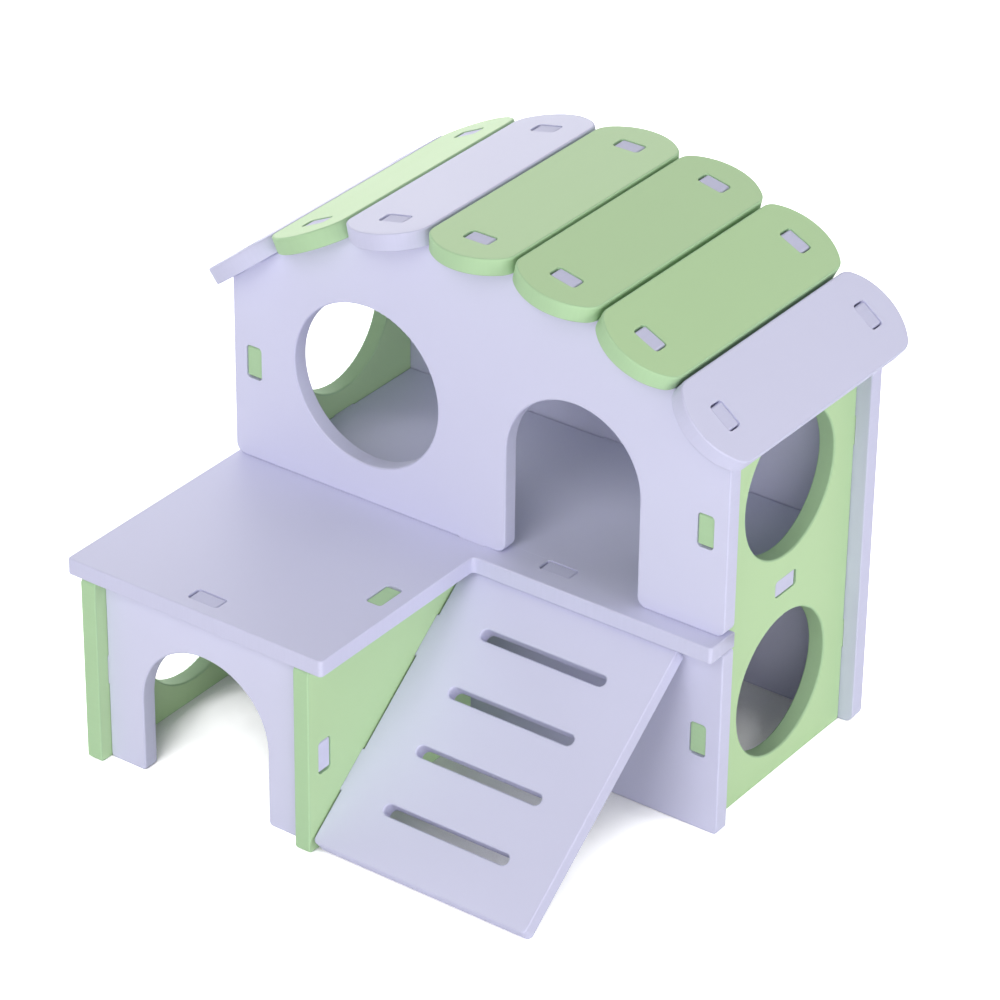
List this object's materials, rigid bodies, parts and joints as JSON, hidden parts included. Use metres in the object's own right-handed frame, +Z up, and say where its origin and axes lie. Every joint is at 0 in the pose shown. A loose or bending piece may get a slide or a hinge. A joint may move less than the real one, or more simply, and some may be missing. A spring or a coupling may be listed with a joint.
{
  "type": "hamster house",
  "caption": "Two-storey small-pet house of slot-together flat boards, with a porch, a slotted ramp, round holes and a curved plank roof",
  "frame": {"origin": "floor level, under the middle of the whole house with its porch and roof", "axes": "+Z up, the porch and the door face -Y, the ramp is on the +X side of the porch"},
  "size_m": [0.1754, 0.1538, 0.153],
  "materials": {
    "lavender_board": "matte through-coloured foamed board with softened edges",
    "green_board": "matte through-coloured foamed board with softened edges"
  },
  "bodies": {
    "house": {"front_wall_upper": "lavender_board", "front_wall_lower": "lavender_board", "back_wall": "lavender_board", "right_side_wall": "green_board", "left_side_wall": "green_board", "deck": "lavender_board", "porch_front_wall": "lavender_board", "porch_side_wall": "green_board"},
    "ramp": {"ramp": "lavender_board"},
    "roof_plank_1": {"roof_plank_1": "lavender_board"},
    "roof_plank_2": {"roof_plank_2": "green_board"},
    "roof_plank_3": {"roof_plank_3": "lavender_board"},
    "roof_plank_4": {"roof_plank_4": "green_board"},
    "roof_plank_5": {"roof_plank_5": "green_board"},
    "roof_plank_6": {"roof_plank_6": "green_board"},
    "roof_plank_7": {"roof_plank_7": "lavender_board"}
  },
  "joints": [
    {"name": "ramp_pulls_out", "type": "slide", "parent": "house", "child": "ramp", "axis": [1, 0, 0], "range_m": [0, 0.09]},
    {"name": "roof_plank_1_lifts_off", "type": "slide", "parent": "house", "child": "roof_plank_1", "axis": [-0.6157, 0, 0.788], "range_m": [0, 0.012]},
    {"name": "roof_plank_2_lifts_off", "type": "slide", "parent": "house", "child": "roof_plank_2", "axis": [-0.4384, 0, 0.8988], "range_m": [0, 0.012]},
    {"name": "roof_plank_3_lifts_off", "type": "slide", "parent": "house", "child": "roof_plank_3", "axis": [-0.2079, 0, 0.9781], "range_m": [0, 0.012]},
    {"name": "roof_plank_4_lifts_off", "type": "slide", "parent": "house", "child": "roof_plank_4", "axis": [0, 0, 1], "range_m": [0, 0.012]},
    {"name": "roof_plank_5_lifts_off", "type": "slide", "parent": "house", "child": "roof_plank_5", "axis": [0.2079, 0, 0.9781], "range_m": [0, 0.012]},
    {"name": "roof_plank_6_lifts_off", "type": "slide", "parent": "house", "child": "roof_plank_6", "axis": [0.4384, 0, 0.8988], "range_m": [0, 0.012]},
    {"name": "roof_plank_7_lifts_off", "type": "slide", "parent": "house", "child": "roof_plank_7", "axis": [0.6157, 0, 0.788], "range_m": [0, 0.012]}
  ]
}
